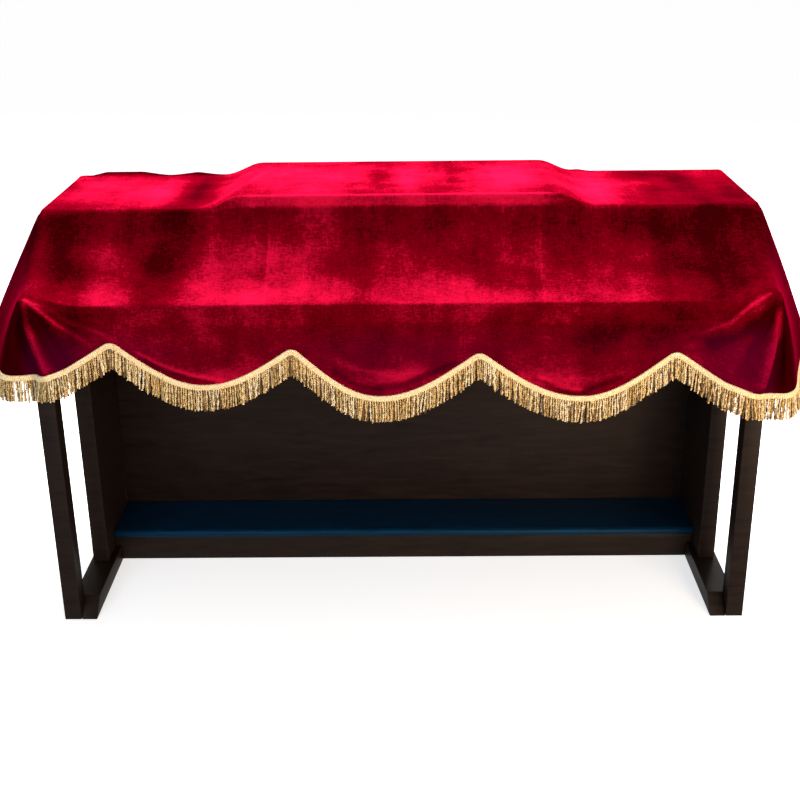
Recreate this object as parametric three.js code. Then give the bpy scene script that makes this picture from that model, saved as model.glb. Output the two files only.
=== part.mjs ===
import * as THREE from 'three';

// A fringed velvet cover draped over a console digital piano on its open stand.
// Millimetres, +Z up, +X to the right of someone facing the keys, +Y towards the back.

// Cloth, measured on its outer face
const clothThickness = 2;
const clearance = 2;
const halfWidth = 700;
const backEdge = 513;
const topEdge = 186;
const slopeTop = 184;
const frontEdge = -8;
const topHeight = 812;
const creaseHeight = 676;
const creaseEndRise = 20;
const creaseEndBlend = 110;
const deskHalfWidth = 300;
const deskRise = 25;
const deskRamp = 80;
const slopeAtCrease = 0.405;
const slopeAtTop = 2.09;

// Scalloped hem: [x, height] at each point and each hollow along the front, corner to corner
const frontHem = [
  [-702, 552], [-538, 610], [-367, 524], [-200, 595], [-38, 499],
  [150, 584], [340, 496], [515, 583], [702, 505],
];
const frontHemEnds = { left: -630, right: 605 };
const cells = { halfScallop: 7, end: 3 };
const hang = { top: 8, hollow: 10, corner: 37, cornerFrom: 530, cornerOver: 110 };
const backHem = { height: 662, y: 531 };

// Hanging columns of a side, from the last point of the front hem round to the back corner:
// [y where the column leaves the edge, outward x of its hem, y of its hem]
const sideColumns = [
  [-8, 650, -62], [-8, 666, -53], [-8, 682, -42], [-8, 702, -40],
  [-8, 724, -42], [-8, 742, -32], [-8, 754, -10],
  [12, 762, 14], [35, 770, 34], [60, 778, 52], [90, 788, 72], [120, 796, 90], [150, 801, 106],
  [178, 803, 122], [186, 800, 142], [186, 792, 162], [186, 780, 184],
  [210, 768, 206], [265, 752, 260], [330, 744, 328], [395, 749, 396], [460, 740, 460], [513, 730, 514],
  [513, 722, 528], [513, 706, 534],
];
// Column numbers of the hollows and points of the side hem, with their heights
const sideHem = {
  left: [[-6.5, 610], [3, 552], [13, 602], [19, 524], [22, 598], [25, 662]],
  right: [[-6.5, 583], [3, 505], [13, 586], [19, 506], [22, 590], [25, 662]],
};
const sideReach = { left: 1, right: 0.88 };
const skirtRows = [0.1, 0.3, 0.5, 0.75, 1];

// Fringe: a heading band with a comb of cords, sewn along the front and side hem
const fringe = { gap: 1, heading: 12, length: 52, thickness: 3, toothShare: 0.6 };

// Piano and stand
const play = 0.3;
const caseHalfWidth = halfWidth - clothThickness - clearance;
const caseFront = frontEdge + clothThickness + clearance;
const caseBack = backEdge - clothThickness - clearance;
const caseTop = topHeight - clothThickness - clearance;
const upperCaseFront = topEdge + clearance;
const keybed = { bottom: 612, top: creaseHeight - clothThickness - clearance };
const cheek = { width: 32, rise: 12 };
const legOuter = 694;
const leg = { width: 34, depth: 40 };
const rail = { inner: 628, outer: 681, height: 35, back: 470, toe: 38 };
const upright = { inner: 640, outer: 674, front: 180, back: 470 };
const shelf = { front: 240, back: 402, bottom: 57, top: 75 };
const kickBoard = { front: 247, thickness: 16, bottom: 3 };
const backPanel = { front: 388, thickness: 12 };

const velvet = new THREE.MeshStandardMaterial({ color: '#a3062b', roughness: 0.9, metalness: 0 });
const bullion = new THREE.MeshStandardMaterial({ color: '#d3b06c', roughness: 0.6, metalness: 0 });
const darkWood = new THREE.MeshStandardMaterial({ color: '#1d1512', roughness: 0.45, metalness: 0 });

const group = new THREE.Group();

function addMesh(name, geometry, material) {
  const mesh = new THREE.Mesh(geometry, material);
  mesh.name = name;
  group.add(mesh);
  return mesh;
}

// A box given by its lowest and highest corners.
function addBox(name, low, high) {
  const size = high.map((value, i) => value - low[i]);
  const mesh = addMesh(name, new THREE.BoxGeometry(...size), darkWood);
  mesh.position.set(...low.map((value, i) => value + size[i] / 2));
  return mesh;
}

function smooth(value) {
  const u = THREE.MathUtils.clamp(value, 0, 1);
  return u * u * (3 - 2 * u);
}

// The hem at a place between two knots, pointed at the high one and round at the low one:
// its height, and how far it is into the hollow.
function hemAt(knots, place) {
  const next = Math.max(1, knots.findIndex((knot) => place <= knot[0]));
  const [from, to] = [knots[next - 1], knots[next]];
  const share = (place - from[0]) / (to[0] - from[0]);
  const [high, low] = [Math.max(from[1], to[1]), Math.min(from[1], to[1])];
  const hollow = Math.sin((from[1] > to[1] ? share : 1 - share) * Math.PI / 2);
  return { height: high - (high - low) * hollow, hollow };
}

// Height of the cloth that lies on the piano: top, desk bump and the sagging slope to the front.
function roofHeight(x, y) {
  const crease = creaseHeight + creaseEndRise * smooth(1 + (Math.abs(x) - halfWidth) / creaseEndBlend);
  if (y >= topEdge) {
    return topHeight + deskRise * smooth(1 + (deskHalfWidth - Math.abs(x)) / deskRamp);
  }
  const q = THREE.MathUtils.clamp((y - frontEdge) / (slopeTop - frontEdge), 0, 1);
  const rise = smooth(q) + slopeAtCrease * q * (1 - q) ** 2 + slopeAtTop * q * q * (q - 1);
  return crease + (topHeight - crease) * rise;
}

// Turns an open outer surface into a closed sheet of the given thickness, grown inwards.
function thickSheet(points, triangles, thickness) {
  const outer = new THREE.BufferGeometry();
  outer.setAttribute('position', new THREE.Float32BufferAttribute(points.flatMap((p) => p.toArray()), 3));
  outer.setIndex(triangles.flat());
  outer.computeVertexNormals();
  const normals = outer.getAttribute('normal');
  const inner = points.map((p, i) => p.clone().addScaledVector(
    new THREE.Vector3().fromBufferAttribute(normals, i), -thickness));
  const count = points.length;
  const edges = new Set(triangles.flatMap(([a, b, c]) => [`${a},${b}`, `${b},${c}`, `${c},${a}`]));
  const faces = [...triangles, ...triangles.map(([a, b, c]) => [a + count, c + count, b + count])];
  for (const edge of edges) {
    const [a, b] = edge.split(',').map(Number);
    if (!edges.has(`${b},${a}`)) {
      faces.push([b, a, a + count], [b, a + count, b + count]);
    }
  }
  const solid = new THREE.BufferGeometry();
  const all = [...points, ...inner];
  solid.setAttribute('position', new THREE.Float32BufferAttribute(all.flatMap((p) => p.toArray()), 3));
  solid.setIndex(faces.flat());
  solid.computeVertexNormals();
  return solid;
}

// Stations of the part of the cloth that lies on the piano.
const hemX = frontHemStations();
const columnCount = hemX.length - 1;
const stationX = hemX.map((_, i) => halfWidth * (2 * i / columnCount - 1));
const stationY = [...new Set(sideColumns.map((column) => column[0]))];

function sideHemPoint(side, index) {
  const [, x, y] = sideColumns[index];
  const reach = halfWidth + (x - halfWidth) * (x > halfWidth ? sideReach[side] : 1);
  const sign = side === 'left' ? -1 : 1;
  return new THREE.Vector3(sign * reach, y, hemAt(sideHem[side], index).height);
}

// Hem stations along the front: even steps between the knots and out to where the corner folds begin.
function frontHemStations() {
  const stops = [frontHemEnds.left, ...frontHem.slice(1, -1).map((knot) => knot[0]), frontHemEnds.right];
  const stations = [stops[0]];
  stops.slice(1).forEach((stop, k) => {
    const steps = k === 0 || k === stops.length - 2 ? cells.end : cells.halfScallop;
    for (let n = 1; n <= steps; n += 1) {
      stations.push(THREE.MathUtils.lerp(stops[k], stop, n / steps));
    }
  });
  return stations;
}

function frontHemPoint(x) {
  const { height, hollow } = hemAt(frontHem, x);
  const corner = smooth((Math.abs(x) - hang.cornerFrom) / hang.cornerOver);
  const y = frontEdge - hang.top - hang.hollow * hollow ** 2 - hang.corner * corner;
  return new THREE.Vector3(x, y, height);
}

// Every hanging column, round the cover: the station it leaves and the hem point it reaches.
function hangingColumns() {
  const last = stationY.length - 1;
  const side = (name) => sideColumns.map(([y], index) => ({
    i: name === 'left' ? 0 : columnCount,
    j: stationY.indexOf(y),
    hem: sideHemPoint(name, index),
  }));
  const front = hemX.map((x, i) => ({ i, j: 0, hem: frontHemPoint(x) }));
  const back = stationX.slice(1, -1).map((x, i) => ({
    i: i + 1,
    j: last,
    hem: new THREE.Vector3(x, backHem.y, backHem.height),
  }));
  return { trimmed: [...side('left').reverse(), ...front, ...side('right')], plain: back.reverse() };
}

function makeCover(columns) {
  const points = [];
  const triangles = [];
  const roofIndex = (i, j) => j * (columnCount + 1) + i;
  for (const y of stationY) {
    for (const x of stationX) {
      points.push(new THREE.Vector3(x, y, roofHeight(x, y)));
    }
  }
  for (let j = 0; j < stationY.length - 1; j += 1) {
    for (let i = 0; i < columnCount; i += 1) {
      const corners = [roofIndex(i, j), roofIndex(i + 1, j), roofIndex(i + 1, j + 1), roofIndex(i, j + 1)];
      triangles.push([corners[0], corners[1], corners[2]], [corners[0], corners[2], corners[3]]);
    }
  }
  const strands = columns.map(({ i, j, hem }) => {
    const top = roofIndex(i, j);
    const start = points[top];
    const below = skirtRows.map((t) => points.push(start.clone().lerp(hem, t)) - 1);
    return [top, ...below];
  });
  strands.forEach((strand, index) => {
    const next = strands[(index + 1) % strands.length];
    for (let row = 0; row < strand.length - 1; row += 1) {
      if (strand[row] !== next[row]) {
        triangles.push([strand[row], next[row + 1], next[row]]);
      }
      triangles.push([strand[row], strand[row + 1], next[row + 1]]);
    }
  });
  return thickSheet(points, triangles, clothThickness);
}

// The way out of the cloth at a hanging column's hem, in the cloth's own surface and square to the hem.
function fallAt(columns, k) {
  const { i, j, hem } = columns[k];
  const along = columns[Math.min(k + 1, columns.length - 1)].hem.clone()
    .sub(columns[Math.max(k - 1, 0)].hem).normalize();
  const [x, y] = [stationX[i], stationY[j]];
  const fall = hem.clone().sub(new THREE.Vector3(x, y, roofHeight(x, y)));
  return fall.addScaledVector(along, -fall.dot(along)).normalize();
}

// One comb: a heading band all along the trimmed hem, with a tooth to each column.
function makeFringe(columns) {
  const cord = new THREE.Vector3(0, 0, fringe.heading - fringe.length);
  const falls = columns.map((_, k) => fallAt(columns, k));
  const points = [];
  const triangles = [];
  const addStation = (k, share) => {
    const hem = columns[k].hem.clone().lerp(columns[k + 1].hem, share);
    const fall = falls[k].clone().lerp(falls[k + 1], share).normalize();
    const top = hem.clone().addScaledVector(fall, fringe.gap);
    const headingEnd = top.clone().addScaledVector(fall, fringe.heading);
    return [top, headingEnd, headingEnd.clone().add(cord)].map((point) => points.push(point) - 1);
  };
  const stations = [];
  for (let k = 0; k < columns.length - 1; k += 1) {
    stations.push(addStation(k, 0), addStation(k, fringe.toothShare));
  }
  stations.push(addStation(columns.length - 2, 1));
  for (let s = 0; s < stations.length - 1; s += 1) {
    const [a, b] = [stations[s], stations[s + 1]];
    triangles.push([a[0], a[1], b[1]], [a[0], b[1], b[0]]);
    if (s % 2 === 0) {
      triangles.push([a[1], a[2], b[2]], [a[1], b[2], b[1]]);
    }
  }
  return thickSheet(points, triangles, fringe.thickness);
}

// A floor rail: notched round the leg in plan, its toe sloping down to the floor.
function makeRail(sign) {
  const inner = rail.inner;
  const notchX = legOuter - leg.width - play;
  const notchY = leg.depth + play;
  const notch = [[notchX, 0], [notchX, notchY], [rail.outer, notchY]];
  const outline = [[inner, 0], ...notch, [rail.outer, rail.back], [inner, rail.back]];
  const shape = new THREE.Shape(outline.map(([x, y]) => new THREE.Vector2(sign * x, y)));
  const geometry = new THREE.ExtrudeGeometry(shape, { depth: rail.height, bevelEnabled: false });
  const position = geometry.getAttribute('position');
  for (let k = 0; k < position.count; k += 1) {
    if (position.getZ(k) > rail.height / 2 && position.getY(k) < 1) {
      position.setY(k, rail.toe);
    }
  }
  return geometry;
}

// The low shelf of the stand, with a bullnosed front edge.
function makeShelf(length) {
  const radius = (shelf.top - shelf.bottom) / 2;
  const shape = new THREE.Shape();
  shape.moveTo(shelf.back, shelf.top);
  shape.lineTo(shelf.front + radius, shelf.top);
  shape.absarc(shelf.front + radius, shelf.bottom + radius, radius, Math.PI / 2, 3 * Math.PI / 2, false);
  shape.lineTo(shelf.back, shelf.bottom);
  const geometry = new THREE.ExtrudeGeometry(shape, { depth: length, bevelEnabled: false, curveSegments: 8 });
  geometry.translate(0, 0, -length / 2);
  geometry.rotateY(Math.PI / 2);
  geometry.rotateX(Math.PI / 2);
  return geometry;
}

function addStand() {
  const legTop = keybed.bottom - play;
  const between = upright.inner - play;
  for (const [side, sign] of [['left', -1], ['right', 1]]) {
    const spanX = (a, b) => (sign < 0 ? [-b, -a] : [a, b]);
    const addSideBox = (name, [x0, x1], [y0, y1], [z0, z1]) => {
      const [low, high] = spanX(x0, x1);
      addBox(`${name}_${side}`, [low, y0, z0], [high, y1, z1]);
    };
    addSideBox('leg', [legOuter - leg.width, legOuter], [0, leg.depth], [0, legTop]);
    addSideBox('upright', [upright.inner, upright.outer], [upright.front, upright.back],
      [rail.height + play, legTop]);
    addSideBox('cheek', [caseHalfWidth - cheek.width, caseHalfWidth], [caseFront, upperCaseFront - play],
      [keybed.top + play, keybed.top + cheek.rise]);
    addMesh(`floor_rail_${side}`, makeRail(sign), darkWood);
  }
  addMesh('floor_shelf', makeShelf(2 * between), darkWood);
  addBox('back_panel', [-between, backPanel.front, shelf.top + play],
    [between, backPanel.front + backPanel.thickness, legTop]);
  addKickBoard(between);
}

// The board under the shelf, notched over the floor rails at both ends.
function addKickBoard(between) {
  const railGap = rail.inner - play;
  const top = shelf.bottom - play;
  const overRail = rail.height + play;
  const half = [[railGap, kickBoard.bottom], [railGap, overRail], [between, overRail], [between, top]];
  const outline = [...half, ...half.toReversed().map(([x, z]) => [-x, z])];
  const shape = new THREE.Shape(outline.map(([x, z]) => new THREE.Vector2(x, z)));
  const geometry = new THREE.ExtrudeGeometry(shape, { depth: kickBoard.thickness, bevelEnabled: false });
  geometry.rotateX(Math.PI / 2);
  geometry.translate(0, kickBoard.front + kickBoard.thickness, 0);
  addMesh('kick_board', geometry, darkWood);
}

function addPiano() {
  addBox('keybed', [-caseHalfWidth, caseFront, keybed.bottom], [caseHalfWidth, caseBack, keybed.top]);
  addBox('upper_case', [-caseHalfWidth, upperCaseFront, keybed.top + play],
    [caseHalfWidth, caseBack, caseTop]);
  const deskHalf = deskHalfWidth - clothThickness - clearance;
  addBox('music_desk', [-deskHalf, upperCaseFront + clearance, caseTop + play],
    [deskHalf, caseBack - clearance, caseTop + deskRise]);
}

const { trimmed, plain } = hangingColumns();
addMesh('velvet_cover', makeCover([...trimmed, ...plain]), velvet);
addMesh('fringe_trim', makeFringe(trimmed), bullion);
addPiano();
addStand();

// The frame's origin is the middle of the footprint of the whole part, on the floor.
const middle = new THREE.Box3().setFromObject(group).getCenter(new THREE.Vector3());
group.position.set(-middle.x, -middle.y, 0);
group.updateMatrixWorld(true);

export default group;
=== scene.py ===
import math

import bmesh
import bpy
import numpy as np
from mathutils import Matrix, Vector


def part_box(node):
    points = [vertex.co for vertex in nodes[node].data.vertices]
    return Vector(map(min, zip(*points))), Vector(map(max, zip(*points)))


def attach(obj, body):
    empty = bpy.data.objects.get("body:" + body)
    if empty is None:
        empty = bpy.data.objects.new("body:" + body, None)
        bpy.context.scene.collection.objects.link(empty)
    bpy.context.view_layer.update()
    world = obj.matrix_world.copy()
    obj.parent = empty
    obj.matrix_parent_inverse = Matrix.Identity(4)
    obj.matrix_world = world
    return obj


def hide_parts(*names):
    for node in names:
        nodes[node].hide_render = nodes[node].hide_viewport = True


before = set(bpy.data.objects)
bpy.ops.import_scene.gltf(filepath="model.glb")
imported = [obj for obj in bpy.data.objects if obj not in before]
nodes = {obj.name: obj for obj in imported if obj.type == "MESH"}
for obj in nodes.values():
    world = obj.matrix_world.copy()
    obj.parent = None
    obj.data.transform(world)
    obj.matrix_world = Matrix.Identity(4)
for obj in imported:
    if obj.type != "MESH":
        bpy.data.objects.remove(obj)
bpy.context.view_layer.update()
mm = 0.001

# Places are in millimetres from the middle of the piano's front legs, on the floor.
keybedFront = -4
keybedLow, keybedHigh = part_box("keybed")
originInFrame = np.array([(keybedLow.x + keybedHigh.x) / 2, keybedLow.y - keybedFront * mm, 0.0])


def toFrame(points):
    return np.asarray(points, float) * mm + originInFrame


def fromFrame(points):
    return (np.asarray(points, float) - originInFrame) / mm


# Camera, light and floor
camera = {
    "place": (26.8, -2195.0, 1373.2),
    "turn": -0.7,
    "down": 22.1,
    "roll": -0.7,
    "lens": 55.98,
    "sensor": 36,
    "sight": 50,
}
studio = {
    "worldStrength": 0.45,
    "floorHalf": 30,
    "floorShade": 0.8,
    "floorRoughness": 0.8,
    "floorGlow": 0.62,
    "lights": [  # name, place in metres, size, power, tint, what it points at
        ("overheadLight", (0.2, 1.5, 2.9), 2.4, 345, (1, 1, 1), (0, 0.1, 0.75)),
        ("coolLight", (-1.3, -3.3, 1.4), 1.5, 46, (0.66, 0.8, 1), (0, -0.1, 0.5)),
        ("warmLight", (1.9, -2.9, 1.0), 1.3, 46, (1, 0.81, 0.6), (0, -0.1, 0.5)),
        ("lowLight", (1.0, -1.9, 0.4), 0.5, 16, (1, 0.66, 0.42), (0.35, 0.2, 0.3)),
    ],
}


def addObject(name, data):
    obj = bpy.data.objects.new(name, data)
    bpy.context.scene.collection.objects.link(obj)
    return obj


def shadeSmooth(mesh):
    mesh.polygons.foreach_set("use_smooth", [True] * len(mesh.polygons))


def makeCamera():
    turn, down, roll = (math.radians(camera[k]) for k in ("turn", "down", "roll"))
    ahead = Vector((math.sin(turn) * math.cos(down), math.cos(turn) * math.cos(down), -math.sin(down)))
    level = ahead.cross(Vector((0, 0, 1))).normalized()
    upright = level.cross(ahead)
    right = math.cos(roll) * level + math.sin(roll) * upright
    up = math.cos(roll) * upright - math.sin(roll) * level
    data = bpy.data.cameras.new("camera")
    data.lens = camera["lens"]
    data.sensor_width = camera["sensor"]
    data.clip_end = camera["sight"]
    obj = addObject("camera", data)
    turned = Matrix((right, up, -ahead)).transposed().to_4x4()
    obj.matrix_world = Matrix.Translation(toFrame(camera["place"])) @ turned
    bpy.context.scene.camera = obj


def makeLights():
    for name, place, size, power, tint, aim in studio["lights"]:
        data = bpy.data.lights.new(name, "AREA")
        data.energy = power
        data.size = size
        data.color = tint
        obj = addObject(name, data)
        obj.location = place
        obj.rotation_euler = (Vector(aim) - Vector(place)).to_track_quat("-Z", "Y").to_euler()
    world = bpy.data.worlds.new("studio")
    bpy.context.scene.world = world
    world.use_nodes = True
    background = world.node_tree.nodes["Background"]
    background.inputs[0].default_value = (1, 1, 1, 1)
    background.inputs[1].default_value = studio["worldStrength"]
    bpy.context.scene.view_settings.view_transform = "Standard"


def newMaterial(name, color, roughness, specular=0.5):
    material = bpy.data.materials.new(name)
    material.use_nodes = True
    shader = material.node_tree.nodes["Principled BSDF"]
    shader.inputs["Base Color"].default_value = (*color, 1)
    shader.inputs["Roughness"].default_value = roughness
    shader.inputs["Specular IOR Level"].default_value = specular
    return material, material.node_tree, shader


def addNode(tree, kind, links=None, **settings):
    node = tree.nodes.new(kind)
    for key, value in settings.items():
        setattr(node, key, value)
    for key, value in (links or {}).items():
        if isinstance(value, bpy.types.NodeSocket):
            tree.links.new(value, node.inputs[key])
        else:
            node.inputs[key].default_value = value
    return node


def addMath(tree, operation, a, b=0.0):
    return addNode(tree, "ShaderNodeMath", {0: a, 1: b}, operation=operation).outputs[0]


def addRamp(tree, value, stops):
    node = addNode(tree, "ShaderNodeValToRGB", {0: value})
    ramp, stops = node.color_ramp, list(stops)
    while len(ramp.elements) < len(stops):
        ramp.elements.new(0.5)
    for element, (place, color) in zip(ramp.elements, stops):
        element.position = place
        element.color = (*color, 1)
    return node.outputs["Color"]


# A noise on places stretched along some axes
def addNoise(tree, place, stretch, scale, detail=2.0, roughness=0.5, distortion=0.0):
    stretched = addNode(tree, "ShaderNodeMapping", {"Vector": place, "Scale": stretch}).outputs[0]
    looks = {"Scale": scale, "Detail": detail, "Roughness": roughness, "Distortion": distortion}
    return addNode(tree, "ShaderNodeTexNoise", {"Vector": stretched, **looks}).outputs["Fac"]


def addShare(tree, value, middle, share):
    return addMath(tree, "MULTIPLY", addMath(tree, "SUBTRACT", value, middle), share)


def addBump(tree, shader, height, strength, distance):
    bump = addNode(tree, "ShaderNodeBump", {"Height": height, "Strength": strength, "Distance": distance})
    tree.links.new(bump.outputs[0], shader.inputs["Normal"])


def makeFloor():
    half = studio["floorHalf"]
    corners = [(-half, -half, 0), (half, -half, 0), (half, half, 0), (-half, half, 0)]
    mesh = bpy.data.meshes.new("floor")
    mesh.from_pydata(corners, [], [(0, 1, 2, 3)])
    obj = addObject("floor", mesh)
    shade = studio["floorShade"]
    material, _, shader = newMaterial("paleFloor", (shade, shade, shade), studio["floorRoughness"])
    shader.inputs["Emission Color"].default_value = (1, 1, 1, 1)
    shader.inputs["Emission Strength"].default_value = studio["floorGlow"]
    mesh.materials.append(material)
    obj.visible_diffuse = False  # a glowing floor would light the piece from below
    obj.visible_glossy = False


# Velvet cover
cover = {
    "thickness": 2.0,
    "halfWidth": 700,
    "back": 513,
    "topEdge": 186,
    "slopeTop": 184,
    "front": -8,
    "top": 812,
    "crease": 676,
    "creaseEndRise": 20,
    "creaseEndBlend": 110,
    "deskHalfWidth": 300,
    "deskRise": 25,
    "deskRamp": 80,
    "deskLip": 9,
    "deskUnroll": 0.8,
    "slopeAtCrease": 0.405,
    "slopeAtTop": 2.09,
    "hangTop": 8,
    "hangHollow": 10,
    "hangCorner": 37,
    "hangCornerFrom": 530,
    "hangCornerOver": 110,
    "pointRounding": (-10, -5, 0, 5, 10),
    "backHemHeight": 662,
    "backHemY": 531,
    "skirtRows": 30,
    "skirtCrowding": 1.2,  # more than one crowds the rows under the edge
    "frontCells": 40,
    "endCells": 20,
    "endRunShare": 1 / 16,  # how much of the crease each end run takes, whatever its cells
    "frontCornerLines": 6,
    "backCornerLines": 2,
    "bellyFront": 2.0,
    "bellySide": 6.0,
    "bellyBack": 3.0,
    "bellyFrom": 4,
    "bellyOver": 4,
    "bellyLift": 0.3,
    "endRollY": (-6, 50, 196, 34),  # the slope's ends roll softly into the sides between these places
    "endRollX": (610, 60),
    "endRollZ": (560, 60),
    "endRollRounds": 70,
    "apexFade": 1.6,
    "apexReach": 46,
    "apexRounds": 26,
    "laidEase": (0.8, 3),  # share of the way and rounds, before the folds
    "foldedEase": (0.6, 2),
    "woodMargin": 2.9,
}
# Points and hollows of the front hem, left to right: x and height
frontHem = [
    (-702, 552), (-538, 610), (-367, 524), (-200, 595), (-38, 499),
    (150, 584), (340, 496), (515, 583), (702, 505),
]
frontHemEnds = (-630, 605)  # where its first and last strands reach it
# Hanging lines of a side, front to back: y where it leaves the edge, outward x and y of its hem
sideLines = [
    (-8, 650, -62), (-8, 666, -53), (-8, 682, -42), (-8, 702, -40),
    (-8, 724, -42), (-8, 742, -32), (-8, 754, -10),
    (12, 762, 14), (35, 770, 34), (60, 778, 52), (90, 788, 72), (120, 796, 90), (150, 801, 106),
    (178, 803, 122), (186, 800, 142), (186, 792, 162), (186, 780, 184),
    (210, 768, 206), (265, 752, 260), (330, 744, 328), (395, 749, 396), (460, 740, 460), (513, 730, 514),
    (513, 722, 528), (513, 706, 534),
]
# Cells from each line to the next
sideSteps = [4, 4, 5, 5, 5, 5, 6, 5, 4, 4, 4, 4, 5, 5, 4, 5, 6, 6, 7, 7, 7, 7, 6, 4]
# Points and hollows of each side's hem: number of the hanging line and height
sideHem = {
    -1: [(-6.5, 610), (3, 552), (13, 602), (19, 524), (22, 598), (25, 662)],
    1: [(-6.5, 583), (3, 505), (13, 586), (19, 506), (22, 590), (25, 662)],
}
sideReach = {-1: 1.0, 1: 0.88}  # how far each side swings out


def smooth(value):
    u = np.clip(value, 0, 1)
    return u * u * (3 - 2 * u)


def hemAt(knots, place):
    k = next((n for n in range(1, len(knots)) if place <= knots[n][0]), len(knots) - 1)
    (x0, z0), (x1, z1) = knots[k - 1], knots[k]
    share = (place - x0) / (x1 - x0)
    hollow = math.sin((share if z0 > z1 else 1 - share) * math.pi / 2)
    return max(z0, z1) - abs(z0 - z1) * hollow, hollow


def roofHeight(x, y):
    endRise = smooth(1 + (np.abs(x) - cover["halfWidth"]) / cover["creaseEndBlend"])
    crease = cover["crease"] + cover["creaseEndRise"] * endRise
    q = np.clip((y - cover["front"]) / (cover["slopeTop"] - cover["front"]), 0, 1)
    rise = smooth(q) + cover["slopeAtCrease"] * q * (1 - q) ** 2 + cover["slopeAtTop"] * q * q * (q - 1)
    slope = crease + (cover["top"] - crease) * rise
    desk = cover["deskRise"] * smooth(1 + (cover["deskHalfWidth"] - np.abs(x)) / cover["deskRamp"])
    return slope + desk * smooth((y - cover["topEdge"]) / cover["deskLip"] + 1)


def curveThrough(points, k, t):
    a, b, c, d = (np.array(points[min(max(k + n, 0), len(points) - 1)], float) for n in (-1, 0, 1, 2))
    return b + 0.5 * t * (c - a + t * (2 * a - 5 * b + 4 * c - d + t * (3 * b - a - 3 * c + d)))


def sideStations(side):
    reach = sideReach[side]
    edge = cover["halfWidth"]
    plan = [(side * (edge + (x - edge) * (reach if x > edge else 1)), y) for _, x, y in sideLines]
    stations = []
    for k, steps in enumerate(sideSteps):
        for n in range(steps + (k == len(sideSteps) - 1)):
            t = n / steps
            topY = sideLines[k][0] + (sideLines[k + 1][0] - sideLines[k][0]) * t
            x, y = curveThrough(plan, k, t)
            stations.append((topY, np.array([x, y, hemAt(sideHem[side], k + t)[0]]), k + t))
    return stations


def frontStations():
    stops = [frontHemEnds[0], *[x for x, _ in frontHem[1:-1]], frontHemEnds[1]]
    stations = [stops[0]]
    for k in range(len(stops) - 1):
        steps = cover["endCells"] if k in (0, len(stops) - 2) else cover["frontCells"]
        stations += [stops[k] + (stops[k + 1] - stops[k]) * (n + 1) / steps for n in range(steps)]
    return stations


def frontHemPoint(x):
    hollow = hemAt(frontHem, x)[1]
    around = [hemAt(frontHem, x + step)[0] for step in cover["pointRounding"]]
    height = sum(around) / len(around)
    corner = smooth((abs(x) - cover["hangCornerFrom"]) / cover["hangCornerOver"])
    y = cover["front"] - cover["hangTop"] - cover["hangHollow"] * hollow ** 2 - cover["hangCorner"] * corner
    return np.array([x, float(y), height])


class Sheet:
    def __init__(self, **parts):
        for name, value in parts.items():
            setattr(self, name, value)


def creaseStations(columns):
    ends, share = cover["endCells"], cover["endRunShare"]
    stations = []
    for i in range(columns + 1):
        if i < ends:
            place = share * i / ends
        elif i > columns - ends:
            place = 1 - share * (columns - i) / ends
        else:
            place = share + (1 - 2 * share) * (i - ends) / (columns - 2 * ends)
        stations.append(cover["halfWidth"] * (2 * place - 1))
    return np.array(stations)


def roofRows():
    rows = []
    for topY, _, _ in sideStations(1):
        if not rows or topY > rows[-1] + 1e-6:
            rows.append(topY)
    return rows


# A strand hangs from the roof to the hem: top point, hem point, flat direction, and its belly
def sideStrands(side, ys, columns):
    rowOf = {y: j for j, y in enumerate(ys)}
    backFrom = len(sideLines) - 1 - cover["backCornerLines"]
    strands = []
    for topY, hem, k in sideStations(side):
        angle = 0
        if topY == cover["front"]:
            angle = math.radians(-90 + 90 * k / cover["frontCornerLines"])
        elif topY == cover["back"]:
            angle = math.radians(90 * (k - backFrom) / cover["backCornerLines"])
        way = np.array([side * math.cos(angle), math.sin(angle)])
        grown = smooth((k - cover["bellyFrom"]) / cover["bellyOver"])
        belly = cover["bellyFront"] + (cover["bellySide"] - cover["bellyFront"]) * grown
        top = rowOf[topY] * (columns + 1) + (0 if side < 0 else columns)
        strands.append((top, hem, way, np.array([*way, cover["bellyLift"]]) * belly))
    return strands


def ringAround(hemX, xs, ys):
    columns = len(hemX) - 1
    ahead, behind, lift = np.array([0.0, -1.0]), np.array([0.0, 1.0]), cover["bellyLift"]
    ring = sideStrands(-1, ys, columns)[::-1]
    for i, x in enumerate(hemX):
        ring.append((i, frontHemPoint(x), ahead, np.array([*ahead, lift]) * cover["bellyFront"]))
    ring += sideStrands(1, ys, columns)
    trimmed = len(ring)
    lastRow = (len(ys) - 1) * (columns + 1)
    for i in range(columns - 1, 0, -1):
        hem = np.array([xs[i], cover["backHemY"], cover["backHemHeight"]], float)
        ring.append((lastRow + i, hem, behind, np.array([*behind, lift]) * cover["bellyBack"]))
    return ring, trimmed


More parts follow.
